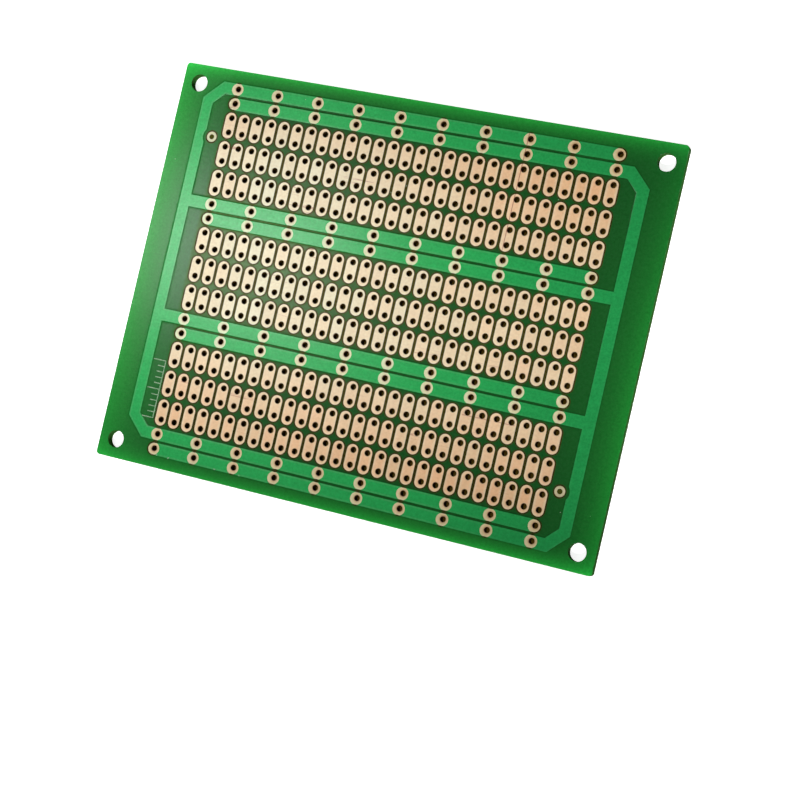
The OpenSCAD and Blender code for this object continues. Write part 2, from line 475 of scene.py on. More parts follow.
lengths = np.array([len(loop) for loop in loops])
starts = np.repeat(np.cumsum(lengths) - lengths, lengths)
numbers = np.arange(lengths.sum())
following = np.where(numbers - starts + 1 < np.repeat(lengths, lengths), numbers + 1, starts)
rings_of_edges = np.c_[numbers, following].tolist()
points = [Vector(p) for p in np.vstack(loops)]
stencil = delaunay_2d_cdt(points, rings_of_edges, [], 0, MERGED_WITHIN)
flat = np.array([tuple(p) for p in stencil[0]])
triangles = np.array(stencil[2])
print("stencil:", len(flat), "points,", len(triangles), "triangles")

# %% [markdown]
# The triangulation fills the openings too, so the triangles inside them are dropped, and with them any that
# has no area to speak of. Distances decide again, now to the openings and to the rim of the board.

# %% What is left of the stencil
LEAST_AREA = 1e-8


def distance_to_openings(points):
    """Distance of each point past the lip of the nearest pad, ring or target, negative inside it. For a
    pad it is the distance to the line between its two holes, less the opening's radius."""
    x, y = (points - shift).T
    column = (x + grid_l / 2) / PITCH
    pad_column = np.clip(np.round(column), 0, COLUMNS - 1)
    ring_column = np.clip(np.round(column / RING_STEP), 0, (COLUMNS - 1) // RING_STEP) * RING_STEP
    past_end = np.maximum(np.abs(y[:, None] - row_y(pad_rows)) - PITCH / 2, 0).min(1)
    found = [np.hypot(x - column_x(pad_column), past_end) - OPENING_R]
    from_finger = np.abs(y[:, None] - row_y(finger_rows)).min(1)
    found += [np.hypot(x - column_x(ring_column), from_finger) - OPENING_R]
    found += [np.hypot(*(points - at).T) - TARGET_R for at in target_at]
    return np.min(found, axis=0)


def distance_to_rim(points):
    """Distance of each point from the board's outer edge and the mounting holes, negative off the board."""
    found = [np.hypot(*(points - at).T) - bolt_r for at in bolt_at]
    corner = np.maximum(np.abs(points) - (half_l - CORNER_R, half_w - CORNER_R), 0)
    to_sides = np.minimum(half_l - np.abs(points[:, 0]), half_w - np.abs(points[:, 1]))
    found += [np.where(corner.min(1) > 0, CORNER_R - np.hypot(*corner.T), to_sides)]
    return np.min(found, axis=0)


corners = flat[triangles]
area = np.cross(corners[:, 1] - corners[:, 0], corners[:, 2] - corners[:, 0]) / 2
triangles[area < 0] = triangles[area < 0][:, ::-1]
middles = corners.mean(1)
solid = (distance_to_openings(middles) > 0) & (distance_to_rim(middles) > 0)
used, triangles = np.unique(triangles[(np.abs(area) > LEAST_AREA) & solid], return_inverse=True)
flat, triangles = flat[used], triangles.reshape(-1, 3)
print("film seen from above:", len(flat), "points,", len(triangles), "triangles")

# %% [markdown]
# Now the flat stencil gets its heights. Liquid lacquer that dries over a step leaves an S-shaped slope,
# so the height follows that curve from the copper's edge out to the foot of the slope. The lower side is
# the same sheet one film thickness down, and a wall closes it wherever a triangle has no neighbour.

# %% Heights, lower side and walls
def s_curve(t):
    """The curve 3 t^2 - 2 t^3, held at its ends."""
    t = np.clip(t, 0, 1)
    return t * t * (3 - 2 * t)


from_copper, from_lip = distance_to_copper(flat), distance_to_openings(flat)
under_film = top_z + (copper_z - top_z) * (1 - s_curve(from_copper / SLOPE_W))
upper, lower = np.c_[flat, under_film + film_t], np.c_[flat, under_film]

sheet_points, sheet_faces = len(flat), len(triangles)
edges = np.vstack([triangles[:, [0, 1]], triangles[:, [1, 2]], triangles[:, [2, 0]]])
code = edges[:, 0] * sheet_points + edges[:, 1]
lone = edges[~np.isin(code, edges[:, 1] * sheet_points + edges[:, 0])]
first_half = lone[:, [1, 0, 0]] + [0, 0, sheet_points]
second_half = np.c_[lone[:, 1], lone[:, 0] + sheet_points, lone[:, 1] + sheet_points]
faces = np.vstack([triangles, triangles[:, ::-1] + sheet_points, first_half, second_half])
print("film:", len(faces), "triangles, top between", upper[:, 2].min().round(4), upper[:, 2].max().round(4))

# %% [markdown]
# A mesh takes whole arrays at once through foreach_set, far quicker than adding points one by one.
# Two numbers go along with each point of the film, its distances from the copper and from the nearest
# lip, and the finish reads them to know where it is.

# %% The film as a piece
SHADING_ANGLE = 35


def new_piece(name, points_mm, faces, shading_angle=None):
    """Makes a mesh object from points in mm and faces of equal size, at the origin, riding on the board."""
    faces = np.asarray(faces)
    mesh = bpy.data.meshes.new(name)
    mesh.vertices.add(len(points_mm))
    mesh.vertices.foreach_set("co", (np.asarray(points_mm) * MM).astype(np.float32).ravel())
    mesh.loops.add(faces.size)
    mesh.loops.foreach_set("vertex_index", faces.astype(np.int32).ravel())
    mesh.polygons.add(len(faces))
    mesh.polygons.foreach_set("loop_start", np.arange(0, faces.size, faces.shape[1], dtype=np.int32))
    mesh.update(calc_edges=True)
    mesh.validate()
    if shading_angle:
        mesh.shade_smooth()
        mesh.set_sharp_from_angle(angle=math.radians(shading_angle))
    piece = bpy.data.objects.new(name, mesh)
    bpy.context.collection.objects.link(piece)
    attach(piece, "root")
    return piece


def add_values(piece, name, values):
    """Stores one number per point, for the material to read."""
    layer = piece.data.attributes.new(name, "FLOAT", "POINT")
    layer.data.foreach_set("value", np.asarray(values, np.float32))


film = new_piece("mask_film", np.vstack([upper, lower]), faces, SHADING_ANGLE)
add_values(film, "from_copper", np.tile(from_copper, 2))
add_values(film, "from_lip", np.tile(from_lip, 2))
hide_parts("solder_mask")
print("from copper, mm:", from_copper.min().round(2), "to", from_copper.max().round(2))

# %% [markdown]
# The film also gets a flat map of its own, so that its finish can be baked into one image. Unwrapped by
# angle it would fall into more than a thousand slivers, one for each turn of each window's wall. Seen from
# above it is one sheet with holes, and the walls fit into the holes as narrow frames. The hidden underside
# needs little room, so it is squeezed into the top of the map.

# %% A flat map for the film
TOP_BAND, UNDER_BAND, FRAME_W = (0.01, 0.78), (0.8, 0.99), 0.05


def flat_map(points_mm, band):
    """u runs along the board's length, from 0.01 to 0.99, and v across its width, over the band."""
    u = 0.01 + 0.49 * (points_mm[..., 0] / half_l + 1)
    v = band[0] + (band[1] - band[0]) * (points_mm[..., 1] / half_w + 1) / 2
    return np.stack([u, v], -1)


plan = np.tile(flat, (2, 1))[faces]
run = flat[lone[:, 1]] - flat[lone[:, 0]]
into_opening = np.c_[run[:, 1], -run[:, 0]] / np.linalg.norm(run, axis=1)[:, None]
wall_foot = (faces[2 * sheet_faces:] >= sheet_points)[..., None]
plan[2 * sheet_faces:] += FRAME_W * np.tile(into_opening, (2, 1))[:, None] * wall_foot
on_map = flat_map(plan, TOP_BAND)
on_map[sheet_faces:2 * sheet_faces] = flat_map(plan[sheet_faces:2 * sheet_faces], UNDER_BAND)
film.data.uv_layers.new(name="OFBake").uv.foreach_set("vector", on_map.astype(np.float32).ravel())
print("film map:", on_map.min((0, 1)).round(3), on_map.max((0, 1)).round(3))

# %% [markdown]
# Between the left strip and the first column there is a line of print on such boards. Here it is a plain
# scale of ten millimetres, useful at the bench: a base line and eleven ticks, each a flat bar of ink with
# sloping sides. Every bar is the same eight corners, stretched and moved.

# %% The printed scale
SCALE_L, STROKE, LONG_TICK, SHORT_TICK = 10, 0.17, 2.3, 1.3
INK_T, INK_SUNK, INK_SLOPE = 0.014, 0.002, 0.03
scale_at = np.array([-35.95, -26.7])


def ink_bars(middles, half_sizes):
    """Flat bars with sloping sides, closed below: four corners of the base, then four of the top, which
    is smaller all round by the slope. Returns points and faces, as one array each."""
    sign = np.array([(-1, -1), (1, -1), (1, 1), (-1, 1)], float)
    base = middles[:, None, :] + sign[None] * half_sizes[:, None, :]
    top = middles[:, None, :] + sign[None] * (half_sizes[:, None, :] - INK_SLOPE)
    z = np.full(base.shape[:2] + (1,), top_z + film_t)
    low, high = np.concatenate([base, z - INK_SUNK], 2), np.concatenate([top, z + INK_T], 2)
    one = np.array([(3, 2, 1, 0), (4, 5, 6, 7), (0, 1, 5, 4), (1, 2, 6, 5), (2, 3, 7, 6), (3, 0, 4, 7)])
    all_faces = one[None] + 8 * np.arange(len(middles))[:, None, None]
    return np.concatenate([low, high], 1).reshape(-1, 3), all_faces.reshape(-1, 4)


tick = np.arange(SCALE_L + 1)
tick_l = np.where(tick % 5 == 0, LONG_TICK, SHORT_TICK)
tick_at = np.c_[scale_at[0] - tick_l / 2, scale_at[1] + tick]
tick_half = np.c_[tick_l / 2, np.full(len(tick), STROKE / 2)]
line_at, line_half = scale_at + (0, SCALE_L / 2), (STROKE / 2, SCALE_L / 2 + STROKE / 2)
bars = ink_bars(np.vstack([[line_at], tick_at]), np.vstack([[line_half], tick_half]))
printed_scale = new_piece("printed_scale", *bars)
print("printed scale:", len(tick), "ticks,", len(printed_scale.data.vertices), "points")

# %% [markdown]
# Now the finishes. Four effects are used by more than one of them, so each is a node group: built once,
# with named inputs and outputs, and placed in each material with its own values.

# %% Helpers for node groups
def new_group(name, given, made):
    """A node group with float inputs (name: default) and float outputs. Returns the tree, the inputs'
    sockets inside it, and the node that collects its outputs."""
    tree = bpy.data.node_groups.new(name, "ShaderNodeTree")
    for label, default in given.items():
        socket = tree.interface.new_socket(label, in_out="INPUT", socket_type="NodeSocketFloat")
        socket.default_value = default
    for label in made:
        tree.interface.new_socket(label, in_out="OUTPUT", socket_type="NodeSocketFloat")
    return tree, tree.nodes.new("NodeGroupInput").outputs, tree.nodes.new("NodeGroupOutput")


def place(tree, group, **inputs):
    """Puts a node group into a tree, with its own values, and returns its outputs."""
    return wire(tree, "Group", {"node_tree": group}, **inputs).outputs


def own_place(tree):
    """A point's place in the object's own coordinates, in metres."""
    return wire(tree, "TexCoord").outputs["Object"]


def own_place_in_mm(tree, axes):
    """The same place in mm, as one number for each of the axes."""
    at = wire(tree, "SeparateXYZ", Vector=own_place(tree)).outputs
    return (times(tree, at[k], 1000.0) for k in axes)


def folded(tree, value, start, period):
    """What is left of a value when a pattern repeats: how far it is past the nearest of start, start plus
    the period, start plus twice the period, and so on."""
    moved = minus(tree, value, start)
    whole = formula(tree, "ROUND", formula(tree, "DIVIDE", moved, period))
    return minus(tree, moved, times(tree, whole, period))


print("helpers for groups:", ", ".join(f.__name__ for f in (new_group, place, own_place, folded)))

# %% [markdown]
# The first group tells where on the board's pattern a point is: how far from the nearest drilled hole, how
# far from its pad's middle line and how far along it, how far from the nearer target, and how high. It
# also gives each pad a random tone, drawn from the pad's column and row. It could read stored numbers as
# the film's finish does, but the copper comes ready made, and a pattern that repeats is quickly folded.

# %% Where on the pattern
def board_metre():
    """Distances on the board in mm. The holes repeat every pitch both ways, and the pads every two rows, so
    what is left after folding is enough."""
    names = ("From Hole", "From Pad", "Along Pad", "From Target", "Pad Tone", "Height")
    tree, _, made = new_group("board_metre", {}, names)
    x, y, z = own_place_in_mm(tree, "XYZ")
    first_x, first_y = float(column_x(0)), float(row_y(0))
    hole = length(tree, folded(tree, x, first_x, PITCH), folded(tree, y, first_y, PITCH))

    pad_x, pad_y = float(column_x(0) + shift[0]), float(row_y(2.5) + shift[1])
    along = formula(tree, "ABSOLUTE", folded(tree, y, pad_y, 2 * PITCH))
    beyond = formula(tree, "MAXIMUM", minus(tree, along, PITCH / 2), 0.0)
    pad = length(tree, folded(tree, x, pad_x, PITCH), beyond)
    column, row = (formula(tree, "ROUND", formula(tree, "DIVIDE", minus(tree, value, start), period))
                   for value, start, period in ((x, pad_x, PITCH), (y, pad_y, 2 * PITCH)))
    number = wire(tree, "CombineXYZ", X=column, Y=row).outputs[0]
    tone = wire(tree, "TexWhiteNoise", {"noise_dimensions": "3D"}, Vector=number).outputs["Value"]

    # the right target is the left one turned half round, so y changes its sign with x
    off_x, off_y = minus(tree, x, float(shift[0])), minus(tree, y, float(shift[1]))
    side_y = times(tree, off_y, formula(tree, "SIGN", off_x))
    target = length(tree, minus(tree, formula(tree, "ABSOLUTE", off_x), float(TARGET[0])),
                    plus(tree, side_y, float(TARGET[1])))
    fill(tree, made, From_Hole=hole, From_Pad=pad, Along_Pad=along, From_Target=target, Pad_Tone=tone,
         Height=z)
    return tree


metre = board_metre()
print("outputs:", [item.name for item in metre.interface.items_tree])

# %% [markdown]
# No board is even from end to end, and neither is the light on it. Part of this group is painted light:
# a share of painted light, strongest at the left end and in the middle rows, with painted shade over the
# right end and in the far right corner, a painted glow of the mask near the rim, as if light crept in
# through the sawn edges, and a patch of painted haze left of the middle. Handling leaves its traces: one
# straight score and chips along the lowest finger. The second group says how much of each there is at a
# point. All this could be painted into an image, but soft steps and bell curves over x and y have no
# seams and stay sharp at any size.

# %% How the board has aged, and where light is painted on it
SCORE_X, SCORE_LEAN, SCORE_HALF_W = 18.5, 0.004, 0.07
PAINTED_HAZE_AT, PAINTED_HAZE_HALF = (-27.0, 4.3), (23.5, 15.6)
SIDE_REACH, END_REACH, FLUX_Y, CHIPS_BELOW = 4.6, 1.3, 5.0, -32.4


def board_wear_and_painted_light():
    """Shares, most of them from 0 to 1, several of them painted light. The painted rim light falls off
    from each edge as e to the power of minus the distance over a reach, and the painted haze as e to the
    power of minus the square of the distance in half widths."""
    names = ("Flux", "Glow", "Rim Side", "Far Side", "Scored", "Chipped", "Milky", "Between")
    tree, _, made = new_group("board_wear_and_painted_light", {}, names)
    x, y = own_place_in_mm(tree, "XY")

    # painted light: its share thins to the right and away from the middle rows, with painted shade most of
    # all in the far right corner, and a little at the left end
    from_middle = formula(tree, "ABSOLUTE", minus(tree, y, FLUX_Y))
    painted_light = times(tree, steps_from(tree, x, -28.0, 40.0, 1.0, 0.5),
                 steps_from(tree, from_middle, 12.0, 33.0, 1.0, 0.22))
    shaded_corner = times(tree, steps_from(tree, x, -12.0, 34.0, 0.0, 0.7), steps_from(tree, y, 8.0, 26.0))
    painted_light = times(tree, painted_light, minus(tree, steps_from(tree, x, -35.0, -22.0, 0.84, 1.0), shaded_corner))

    def fading(at, half, reach):
        """1 at both edges, and less inwards, as above."""
        depth = minus(tree, formula(tree, "ABSOLUTE", at), half)
        return formula(tree, "EXPONENT", formula(tree, "DIVIDE", depth, reach))

    # the painted rim light reaches further in at the left, and is stronger near two opposite corners
    side, end = fading(x, half_l, line(tree, x, -0.031, SIDE_REACH)), fading(y, half_w, END_REACH)
    askew = times(tree, x, y, -1.0 / (half_l * half_w))
    by_side = line(tree, askew, 0.08, line(tree, x, -0.0013, 0.20))
    glow = plus(tree, times(tree, side, by_side), times(tree, end, line(tree, askew, 0.10, 0.36)))

    # the score crosses the far half, and the chips lie on the lowest finger, at the left
    leaning = line(tree, y, SCORE_LEAN, SCORE_X)
    on_score = formula(tree, "LESS_THAN", formula(tree, "ABSOLUTE", minus(tree, x, leaning)), SCORE_HALF_W)
    scored = times(tree, on_score, steps_from(tree, y, 8.0, 16.0))
    on_last_edge = formula(tree, "LESS_THAN", y, CHIPS_BELOW)
    chipped = times(tree, steps_from(tree, x, -30.0, -8.0, 1.0, 0.0), on_last_edge)

    # the painted haze and the duller coat between the pads both start beside the left strip
    inside = steps_from(tree, x, -36.4, -35.6)
    off_painted_haze = length(tree, *(line(tree, at, 1 / half, -middle / half)
                               for at, middle, half in zip((x, y), PAINTED_HAZE_AT, PAINTED_HAZE_HALF)))
    painted_haze = formula(tree, "EXPONENT", times(tree, off_painted_haze, off_painted_haze, -1.0))
    between = times(tree, inside, steps_from(tree, x, 0.0, 20.0, 1.0, 0.0))
    fill(tree, made, Flux=painted_light, Glow=glow, Rim_Side=side, Far_Side=steps_from(tree, x, 12.0, 34.0),
         Scored=scored, Chipped=chipped, Milky=times(tree, inside, painted_haze), Between=between)
    return tree


wear_and_light_group = board_wear_and_painted_light()
print("outputs:", [item.name for item in wear_and_light_group.interface.items_tree])

# %% [markdown]
# The third group is grain. Up close no lacquer and no metal is of one colour. A single noise looks like
# clouds, so noise at two sizes is summed, and the same grain drawn out along one direction looks brushed.

# %% Grain
def grain_group():
    """Noise at a size given per metre, and finer noise at seven times that, summed three to one. The
    value is the sum's distance from 0.5 times the contrast, plus 0.5."""
    tree, given, made = new_group("grain", {"Size": 2000.0, "Stretch": 1.0, "Contrast": 1.0},
                                  ("Value", "Height"))
    drawn = wire(tree, "CombineXYZ", X=given["Stretch"], Y=1.0, Z=1.0).outputs[0]
    spot = wire(tree, "VectorMath", {"operation": "MULTIPLY"}, i0=own_place(tree), i1=drawn).outputs[0]
    coarse = wire(tree, "TexNoise", Vector=spot, Scale=given["Size"], Detail=3.0).outputs[0]
    fine = wire(tree, "TexNoise", Vector=spot, Scale=times(tree, given["Size"], 7.0), Detail=2.0).outputs[0]
    mixed = plus(tree, times(tree, coarse, 0.75), times(tree, fine, 0.25))
    value = plus(tree, times(tree, minus(tree, mixed, 0.5), given["Contrast"]), 0.5)
    fill(tree, made, Value=value, Height=mixed)
    return tree


grain = grain_group()
print("outputs:", [item.name for item in grain.interface.items_tree])

# %% [markdown]
# The fourth is handling: sparse dust, and hairline scratches. Dust comes from a cell noise, which has one
# middle in each cell, and scratches from noise that is stretched until only thin lines are left of it.

# %% Handling
def handling_group():
    """Specks where a few chosen cells of a fine cell noise are very near their middle, and scratches where
    stretched noise crosses its middle value, broken up by a coarser noise."""
    names = ("Specks", "Scratches")
    tree, given, made = new_group("handling", dict.fromkeys(names, 1.0), names)
    spot = own_place(tree)
    cells = wire(tree, "TexVoronoi", Vector=spot, Scale=420.0).outputs
    number = wire(tree, "SeparateColor", Color=cells["Color"]).outputs[0]
    chosen = formula(tree, "GREATER_THAN", number, 0.86)
    small = formula(tree, "LESS_THAN", cells["Distance"], 0.035)
    turned = wire(tree, "Mapping", Vector=spot, Rotation=(0, 0, 1.15), Scale=(14.0, 900.0, 1.0)).outputs[0]
    stretched = wire(tree, "TexNoise", Vector=turned, Scale=1.0, Detail=1.0).outputs[0]
    thin = formula(tree, "LESS_THAN", formula(tree, "ABSOLUTE", minus(tree, stretched, 0.5)), 0.004)
    broken = formula(tree, "GREATER_THAN", wire(tree, "TexNoise", Vector=spot, Scale=130.0).outputs[0], 0.6)
    fill(tree, made, Specks=times(tree, chosen, small, given["Specks"]),
         Scratches=times(tree, thin, broken, given["Scratches"]))
    return tree


handling = handling_group()
print("outputs:", [item.name for item in handling.interface.items_tree])

# %% [markdown]
# Solder mask is a green lacquer. Over copper it is bright, because the metal throws light back through
# it, and over bare board it is dark. Toward the board's rim it is lifted by painted light, as if light
# crept in through the laminate, and left of the middle a painted haze makes it a little yellow and pale.
# Over the right end the green over copper is darkened by painted shade. Each colour could be a material
# of its own, on faces of its own, but one material that reads the stored distances can blend them. Just
# inside the copper's edge a paler line is a painted highlight, and just outside it the board is darkened
# a little by painted shade.

# %% The film's green
BOARD_GREEN, RIM_LIGHT_GREEN = (0.005, 0.072, 0.010, 1), (0.045, 1.11, 0.12, 1)
HAZE_GREEN = (0.047, 0.135, 0.010, 1)
DARK_LEAF, LIGHT_LEAF, EDGE_HIGHLIGHT_LEAF = (0.018, 0.375, 0.083, 1), (0.022, 0.505, 0.115, 1), (0.10, 0.42, 0.14, 1)
RIGHT_SHADE_TINT, CLOUD_GREEN = (0.86, 0.86, 0.88, 1), (0.0, 0.05, 0.012, 1)

green, tree, surface = new_finish("green_mask_film")
pattern, wear_and_light = place(tree, metre), place(tree, wear_and_light_group)
from_edge = wire(tree, "Attribute", {"attribute_name": "from_copper"}).outputs["Fac"]
past_lip = wire(tree, "Attribute", {"attribute_name": "from_lip"}).outputs["Fac"]
cloud = place(tree, grain, Size=900.0, Contrast=0.7)
brushed = place(tree, grain, Size=1500.0, Stretch=0.12, Contrast=0.8)

# painted light: the green over bare board is lifted toward the rim, as if light crept in there
over_board = blended(tree, wear_and_light["Glow"], BOARD_GREEN, RIM_LIGHT_GREEN)
# painted haze: a yellower, paler green left of the middle
over_board = blended(tree, wear_and_light["Milky"], over_board, HAZE_GREEN)
# painted shade: bare board is darker just outside the copper's edge
over_board = tinted(tree, over_board, grey(tree, steps_from(tree, from_edge, 0.06, 0.40, 0.76, 1.0)))
over_copper = blended(tree, brushed["Value"], DARK_LEAF, LIGHT_LEAF)
# painted shade: the green over copper is darker over the right end
over_copper = tinted(tree, over_copper, RIGHT_SHADE_TINT, wear_and_light["Far Side"])
# painted highlight: a paler line just inside the copper's edge, fainter over the right end
thin = times(tree, steps_from(tree, from_edge, -0.32, -0.16, 0.0, 0.38),
             steps_from(tree, from_edge, -0.05, 0.08, 1.0, 0.0), line(tree, wear_and_light["Far Side"], -0.8, 1.0))
over_copper = blended(tree, thin, over_copper, EDGE_HIGHLIGHT_LEAF)
film_colour = blended(tree, steps_from(tree, from_edge, 0.0, 0.1), over_copper, over_board)
film_colour = blended(tree, times(tree, cloud["Value"], 0.16), film_colour, CLOUD_GREEN)
print("green over board", BOARD_GREEN[:3], "over copper", DARK_LEAF[:3], "to", LIGHT_LEAF[:3])

# %% [markdown]
# The film is thinnest at the lip of each opening. A brown line is painted there, partly flux that dries
# on the lip and partly painted shade at the step into the opening; it is fainter at the round ends of a
# pad, and lighter where the painted light is strong. All over, the film is mottled by fine grain. Pale
# chips sit along the edge of the lowest finger, where the film is brittle. They could be cut out of the
# mesh, but they are too small to be worth it: each is a cell of a cell noise, and only a chosen few of the
# cells show.

# %% The film's lips and marks
LIP_BROWN_IN_SHADE, LIP_BROWN_LIT, CHIP_PALE = (0.028, 0.022, 0.002, 1), (0.072, 0.056, 0.012, 1), (0.45, 0.6, 0.45, 1)

beyond_edge = steps_from(tree, from_edge, 0.02, 0.12)
# painted shade, partly flux: a brown line at each lip, lighter where the painted light is strong
lip = times(tree, steps_from(tree, past_lip, 0.14, 0.24, 0.95, 0.0), beyond_edge,
            steps_from(tree, pattern["Along Pad"], 1.9, 2.3, 1.0, 0.8))
film_colour = blended(tree, lip, film_colour, blended(tree, wear_and_light["Flux"], LIP_BROWN_IN_SHADE, LIP_BROWN_LIT))

fine = place(tree, grain, Size=3200.0, Contrast=1.6)["Value"]
dapple = place(tree, grain, Size=1900.0, Contrast=2.2)["Value"]
mottle = line(tree, fine, 0.46, line(tree, dapple, 0.16, 0.69))
film_colour = tinted(tree, film_colour, grey(tree, mottle))

flakes = wire(tree, "TexVoronoi", Vector=own_place(tree), Scale=1700.0).outputs
flake_number = wire(tree, "SeparateColor", Color=flakes["Color"]).outputs[0]
flake = times(tree, formula(tree, "LESS_THAN", flakes["Distance"], 0.3),
              formula(tree, "GREATER_THAN", flake_number, 0.62))
on_edge = times(tree, steps_from(tree, from_edge, -0.14, -0.06),
                steps_from(tree, from_edge, 0.06, 0.14, 1.0, 0.0))
dust = times(tree, place(tree, handling)["Specks"], 0.5)
pale = formula(tree, "MAXIMUM", times(tree, flake, on_edge, wear_and_light["Chipped"]), dust)
pale = formula(tree, "MAXIMUM", pale, times(tree, dapple, 0.012))
fill(tree, surface, Base_Color=blended(tree, pale, film_colour, CHIP_PALE))
print("lips", LIP_BROWN_IN_SHADE[:3], "to", LIP_BROWN_LIT[:3], "chips", CHIP_PALE[:3])

# %% [markdown]
# Wet lacquer dries to a gloss, so the shine is a clear coat on top, while the green below has no reflection
# of its own. The coat carries the haze of the sheen lamp. It is weaker over bare board, most of all near
# the rim and, in the left half, between the pads. It is weaker on the brown lips and at the foot of the
# slopes too, and nearly gone on slopes that face the far left, where the side lamp would draw bright
# hairlines. Faint ripples and the dapple keep the haze from being even.

# %% The film's shine
over_bare = steps_from(tree, from_edge, 0.0, 0.2)
foot = times(tree, beyond_edge, steps_from(tree, from_edge, 0.30, 0.52, 0.45, 0.0))
facing = wire(tree, "SeparateXYZ", Vector=wire(tree, "TexCoord").outputs["Normal"]).outputs
turned_away = steps_from(tree, minus(tree, facing["Y"], facing["X"]), 0.05, 0.2, 1.0, 0.1)
coat = minus(tree, 1.0, times(tree, over_bare, line(tree, wear_and_light["Rim Side"], 0.22, 0.17)))
coat = times(tree, coat, line(tree, lip, -0.85, 1.0), minus(tree, 1.0, foot), turned_away)
coat = times(tree, coat, minus(tree, 1.0, times(tree, wear_and_light["Between"], over_bare, 0.33)))
coat = times(tree, coat, line(tree, dapple, 0.5, 0.7))
ripple = wire(tree, "Bump", Strength=0.35, Distance=0.000012, Height=cloud["Height"]).outputs[0]
fill(tree, surface, Metallic=steps_from(tree, from_edge, 0.0, 0.12, 0.45, 0.0),
     Roughness=line(tree, cloud["Value"], 0.16, 0.38), Specular_IOR_Level=0.0, Coat_Weight=coat,
     Coat_Roughness=0.22, Coat_IOR=1.5, Normal=ripple, Coat_Normal=ripple)
film.data.materials.append(green)
print("film:", len(tree.nodes), "nodes")

# %% [markdown]
# The pads are copper under a thin pale flux. Where the painted light is strong, at the left end and in
# the middle rows, the copper is painted pale cream, and elsewhere it stays orange. Along the rims a
# painted highlight makes them lighter. No two pads are quite alike, so each takes a tone from its number.
# The drill drags a dark edge into each hole, and its heat leaves the rings, which are small, reddish
# inside. A scratch goes through the flux and shows red. Rings and targets are the same copper with other
# values, so one function makes all three finishes.

# %% Finishes of the copper
RIM_HIGHLIGHT_CREAM, WARM_TINT, PINK_TINT = (0.86, 0.82, 0.60, 1), (0.9, 0.66, 0.5, 1), (1.03, 0.93, 0.89, 1)
DRILLED_BROWN, HOT_RED = (0.2, 0.13, 0.06, 1), (0.45, 0.13, 0.09, 1)
DAPPLE_TINT, SCRATCH_RED = (0.86, 0.80, 0.74, 1), (0.36, 0.07, 0.035, 1)


def copper_finish(name, bare, pale_where_lit, rim_highlight_tint, rim, drilled=0.5, reddened=0.0):
    """A mix of bare copper and a pale colour by the share of painted light, pale where the lamps light
    most. The rim gets a painted highlight, tinted from one distance to another, and rim gives the
    distance's name and both. Drilled and reddened are the strengths of the dark and the red edge at the
    holes."""
    material, tree, surface = new_finish(name)
    pattern, wear_and_light, marks = place(tree, metre), place(tree, wear_and_light_group), place(tree, handling)
    cloud = place(tree, grain, Size=1400.0, Contrast=1.2)["Value"]
    drawn = place(tree, grain, Size=2600.0, Stretch=0.2, Contrast=1.0)
    dapple = place(tree, grain, Size=2300.0, Contrast=2.2)["Value"]

    # painted light: the copper is paler where the lamps light most, at the left end and in the middle rows
    colour = blended(tree, wear_and_light["Flux"], bare, pale_where_lit)
    # painted highlight: a lighter, creamier rim round each pad, ring and target
    on_highlit_rim = steps_from(tree, pattern[rim[0]], rim[1], rim[2])
    colour = tinted(tree, colour, rim_highlight_tint, on_highlit_rim)
    colour = blended(tree, times(tree, on_highlit_rim, line(tree, wear_and_light["Flux"], -0.45, 0.45)), colour, RIM_HIGHLIGHT_CREAM)
    colour = tinted(tree, colour, WARM_TINT, times(tree, cloud, 0.2))
    colour = tinted(tree, colour, PINK_TINT, pattern["Pad Tone"])
    second_tone = formula(tree, "FRACT", times(tree, pattern["Pad Tone"], 7.0))
    colour = tinted(tree, colour, grey(tree, line(tree, second_tone, 0.07, 0.98)))
    from_hole = pattern["From Hole"]
    colour = blended(tree, steps_from(tree, from_hole, 0.51, 0.62, drilled, 0.0), colour, DRILLED_BROWN)
    colour = blended(tree, steps_from(tree, from_hole, 0.52, 0.78, reddened, 0.0), colour, HOT_RED)
    colour = tinted(tree, colour, DAPPLE_TINT, dapple)
    hairlines, score = times(tree, marks["Scratches"], 0.5), times(tree, wear_and_light["Scored"], 0.8)
    scratched = formula(tree, "MAXIMUM", hairlines, score)
    colour = blended(tree, scratched, colour, SCRATCH_RED)

    bump = wire(tree, "Bump", Strength=0.3, Distance=0.00001, Height=drawn["Height"]).outputs[0]
    fill(tree, surface, Base_Color=colour, Metallic=0.3, Roughness=line(tree, drawn["Value"], 0.2, 0.42),
         Coat_Weight=1.0, Coat_Roughness=0.42, Coat_IOR=1.7, Normal=bump)
    return material


def dress(names, finish):
    """Gives measured pieces a finish in place of the plain one that they come with."""
    for name in names:
        slots = frame["nodes"][name].data.materials
        slots.clear()
        slots.append(finish)


pad_finish = copper_finish(
    "fluxed_pad_copper", bare=(0.905, 0.565, 0.28, 1), pale_where_lit=(0.878, 0.865, 0.635, 1),
    rim_highlight_tint=(1.02, 1.04, 1.07, 1), rim=("From Pad", 0.5, 0.85))
ring_finish = copper_finish(
    "fluxed_ring_copper", bare=(0.76, 0.61, 0.295, 1), pale_where_lit=(0.77, 0.905, 0.625, 1),
    rim_highlight_tint=(0.94, 1.02, 1.0, 1), rim=("From Hole", 0.75, 0.95), reddened=0.34)
target_finish = copper_finish(
    "fluxed_target_copper", bare=(0.53, 0.53, 0.27, 1), pale_where_lit=(0.70, 0.76, 0.51, 1),
    rim_highlight_tint=WHITE, rim=("From Pad", 0.6, 0.92), drilled=0.0)
dress([f"bank_{k}_pads" for k in (1, 2, 3)], pad_finish)
dress(["left_power_track", "right_power_track"], ring_finish)
dress(["left_target", "right_target"], target_finish)
print("copper finishes:", pad_finish.name, ring_finish.name, target_finish.name)

